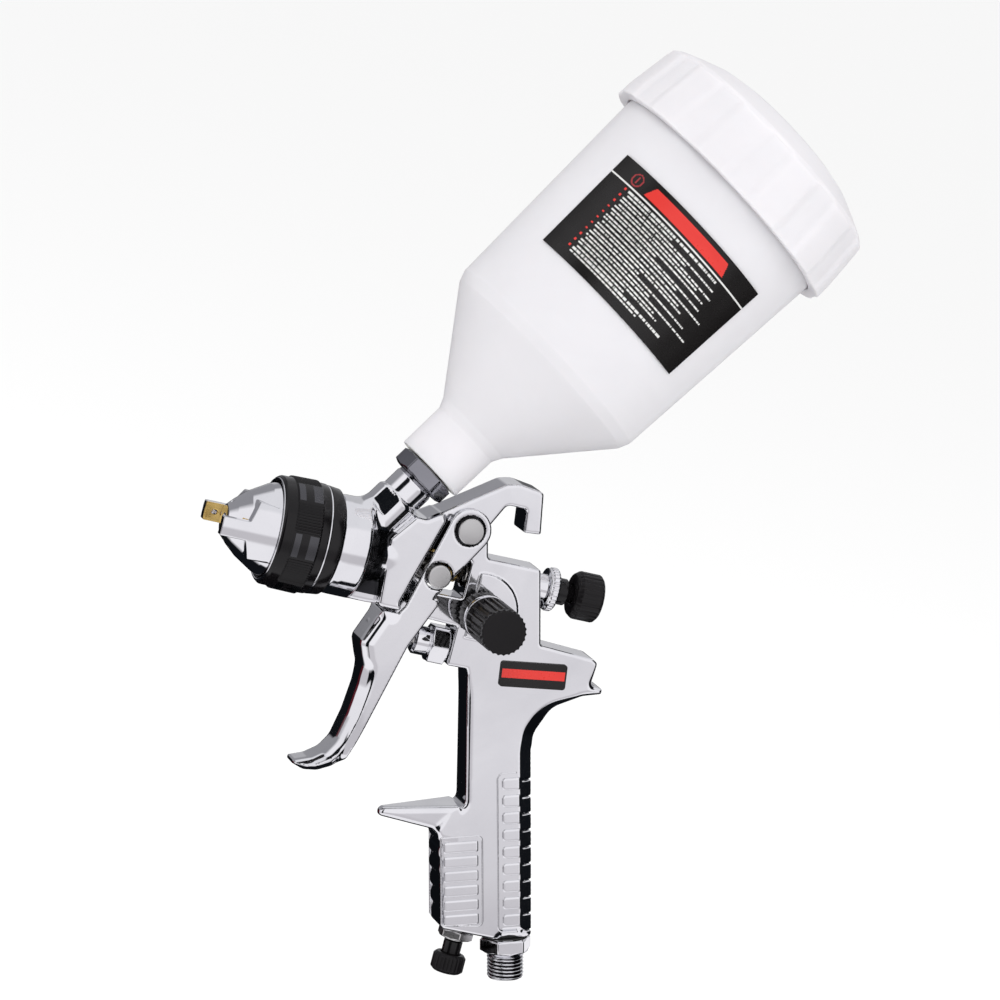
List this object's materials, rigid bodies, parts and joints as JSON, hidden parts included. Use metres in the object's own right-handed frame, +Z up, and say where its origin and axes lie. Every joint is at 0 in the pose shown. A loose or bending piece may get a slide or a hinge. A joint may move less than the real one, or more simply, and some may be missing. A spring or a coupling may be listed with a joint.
{
  "type": "HVLP gravity feed spray gun",
  "caption": "Gravity feed paint spray gun with a leaning plastic cup, sprung trigger, needle and air valve, and screw controls for paint, fan and air.",
  "frame": {"origin": "middle of the flat inner top face of the hanging hook, which carries the gun when it is hung up", "axes": "-X is the spraying direction along the nozzle axis, +Z is up across it, -Y is the side that carries the fan control"},
  "size_m": [0.2036, 0.1016, 0.3407],
  "materials": {
    "chrome": "cast alloy, polished and chrome plated",
    "dark_chrome": "dark bright plating",
    "steel": "plain turned steel, satin",
    "brass": "turned brass",
    "black_anodised": "black anodised, satin",
    "black_plastic": "moulded, ribbed",
    "cup_plastic": "milky translucent polypropylene",
    "seal_rubber": "smooth",
    "seal_ptfe": "white PTFE",
    "label": "printed film, satin"
  },
  "bodies": {
    "gun": {"gun_body": "chrome", "fluid_nozzle": "steel", "air_baffle": "brass", "needle_packing_seal": "seal_ptfe", "needle_packing_nut": "steel", "fluid_control_bush": "chrome", "air_valve_nut": "dark_chrome", "air_valve_seal": "seal_rubber", "trigger_pivot_pin": "steel", "trigger_pivot_clip": "steel", "fan_valve_bush": "black_anodised", "fan_valve_ring": "chrome", "air_inlet_connector": "steel", "air_inlet_washer": "seal_rubber", "air_adjust_nut": "steel", "cup_connector": "dark_chrome", "body_badge": "label"},
    "ring_carrier": {"cap_snap_ring": "steel"},
    "ring": {"air_cap_ring": "black_anodised"},
    "cap": {"air_cap": "chrome"},
    "needle": {"fluid_needle": "steel", "needle_collar": "brass", "needle_spring": "steel"},
    "air_stem": {"air_valve_stem": "steel", "air_valve_spring": "steel"},
    "trigger": {"trigger": "chrome", "trigger_cross_pin": "steel", "cross_pin_clip": "steel"},
    "fluid_screw": {"fluid_knob_spindle": "black_anodised"},
    "fluid_grip": {"fluid_knob": "black_plastic"},
    "fan_screw": {"fan_valve_spindle": "steel"},
    "fan_grip": {"fan_knob": "black_plastic"},
    "adjust_screw": {"air_adjust_spindle": "black_anodised"},
    "adjust_grip": {"air_adjust_knob": "black_plastic"},
    "cup_carrier": {"cup_seal_washer": "seal_ptfe"},
    "cup": {"cup_body": "cup_plastic", "cup_filter": "cup_plastic", "cup_label": "label"},
    "lid_carrier": {"lid_gasket": "cup_plastic"},
    "lid": {"cup_lid": "cup_plastic"},
    "vent": {"lid_vent_plug": "cup_plastic"}
  },
  "joints": [
    {"name": "trigger_pull", "type": "hinge", "parent": "gun", "child": "trigger", "pos_m": [-0.0147, 0, -0.0115], "axis": [0, -1, 0], "range_deg": [0, 14], "stiffness_Nm_per_rad": 1.6, "springref_deg": -34.38},
    {"name": "needle_draw", "type": "slide", "parent": "gun", "child": "needle", "axis": [1, 0, 0], "range_m": [0, 0.0046]},
    {"name": "air_valve_press", "type": "slide", "parent": "gun", "child": "air_stem", "axis": [1, 0, 0], "range_m": [0, 0.0106]},
    {"name": "ring_advance", "type": "slide", "parent": "gun", "child": "ring_carrier", "axis": [-1, 0, 0], "range_m": [0, 0.0045]},
    {"name": "ring_turn", "type": "hinge", "parent": "ring_carrier", "child": "ring", "pos_m": [-0.074, 0, -0.0272], "axis": [-1, 0, 0], "range_deg": [0, 1081]},
    {"name": "air_cap_turn", "type": "hinge", "parent": "ring_carrier", "child": "cap", "pos_m": [-0.089, 0, -0.0272], "axis": [-1, 0, 0], "range_deg": [-90, 90]},
    {"name": "fluid_advance", "type": "slide", "parent": "gun", "child": "fluid_screw", "axis": [1, 0, 0], "range_m": [0, 0.003]},
    {"name": "fluid_knob_turn", "type": "hinge", "parent": "fluid_screw", "child": "fluid_grip", "pos_m": [0.036, 0, -0.0272], "axis": [1, 0, 0], "range_deg": [0, 1081]},
    {"name": "fan_advance", "type": "slide", "parent": "gun", "child": "fan_screw", "axis": [0, -1, 0], "range_m": [0, 0.002]},
    {"name": "fan_knob_turn", "type": "hinge", "parent": "fan_screw", "child": "fan_grip", "pos_m": [-0.0034, -0.03, -0.0395], "axis": [0, -1, 0], "range_deg": [0, 721]},
    {"name": "adjust_advance", "type": "slide", "parent": "gun", "child": "adjust_screw", "axis": [0, 0, -1], "range_m": [0, 0.002]},
    {"name": "air_adjust_turn", "type": "hinge", "parent": "adjust_screw", "child": "adjust_grip", "pos_m": [0.0209, 0, -0.1672], "axis": [0, 0, -1], "range_deg": [0, 721]},
    {"name": "cup_lift", "type": "slide", "parent": "gun", "child": "cup_carrier", "axis": [0.5519, 0, 0.8339], "range_m": [0, 0.003]},
    {"name": "cup_turn", "type": "hinge", "parent": "cup_carrier", "child": "cup", "pos_m": [-0.054, 0, -0.0272], "axis": [0.5519, 0, 0.8339], "range_deg": [0, 721]},
    {"name": "lid_lift", "type": "slide", "parent": "cup", "child": "lid_carrier", "axis": [0.5519, 0, 0.8339], "range_m": [0, 0.0045]},
    {"name": "lid_turn", "type": "hinge", "parent": "lid_carrier", "child": "lid", "pos_m": [-0.054, 0, -0.0272], "axis": [0.5519, 0, 0.8339], "range_deg": [0, 541]},
    {"name": "vent_pull", "type": "slide", "parent": "lid", "child": "vent", "axis": [0.5519, 0, 0.8339], "range_m": [0, 0.003]}
  ],
  "couplings": [
    {"joint": "needle_draw", "follows": "trigger_pull", "m_per_rad": 0.01877},
    {"joint": "air_valve_press", "follows": "trigger_pull", "m_per_rad": 0.043},
    {"joint": "ring_turn", "follows": "ring_advance", "rad_per_m": 4188.8},
    {"joint": "fluid_knob_turn", "follows": "fluid_advance", "rad_per_m": 6283.2},
    {"joint": "fan_knob_turn", "follows": "fan_advance", "rad_per_m": 6283.2},
    {"joint": "air_adjust_turn", "follows": "adjust_advance", "rad_per_m": 6283.2},
    {"joint": "cup_turn", "follows": "cup_lift", "rad_per_m": 4188.8},
    {"joint": "lid_turn", "follows": "lid_lift", "rad_per_m": 2094.4}
  ]
}
